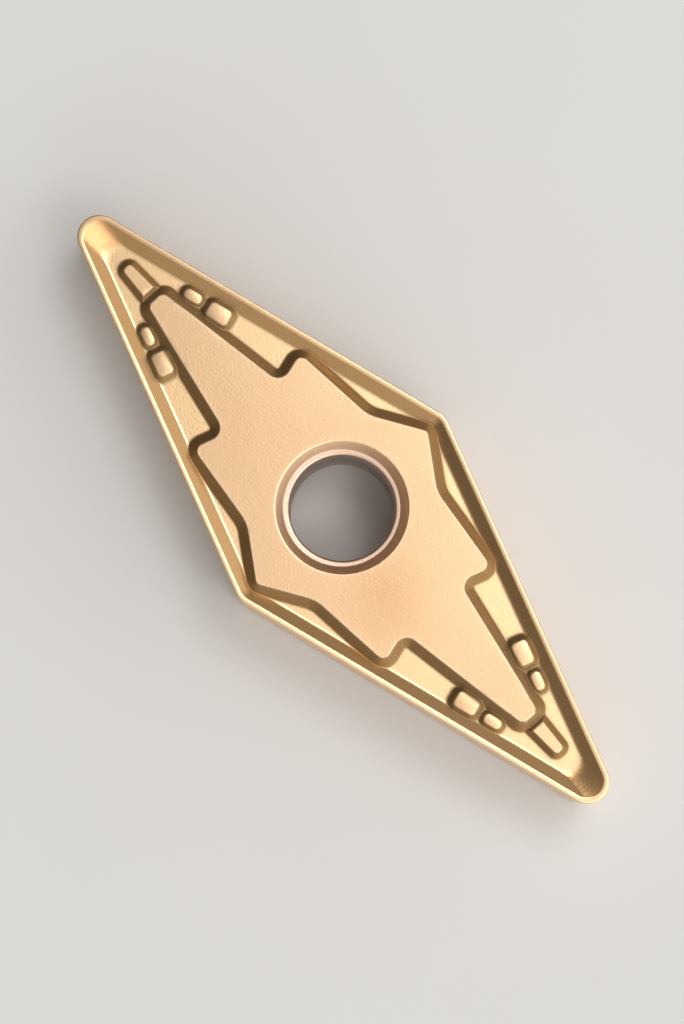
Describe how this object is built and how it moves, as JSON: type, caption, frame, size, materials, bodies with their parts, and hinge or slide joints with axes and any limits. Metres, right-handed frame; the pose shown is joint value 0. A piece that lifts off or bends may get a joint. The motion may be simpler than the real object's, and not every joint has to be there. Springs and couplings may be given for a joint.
{
  "type": "carbide insert",
  "caption": "Double-sided rhombic turning insert with square flanks, a clamping hole and a moulded chipbreaker groove round a raised seat on both faces.",
  "frame": {"origin": "on the axis of the clamping hole, in the plane of the lower seat face on which the insert rests", "axes": "+X along the long diagonal, from nose to nose, and +Z along the hole, out of the upper face"},
  "size_m": [0.028, 0.01, 0.0048],
  "materials": {
    "coated_carbide": "satin bronze-gold hard coating over sintered carbide"
  },
  "bodies": {
    "root": {"insert": "coated_carbide"}
  },
  "joints": []
}
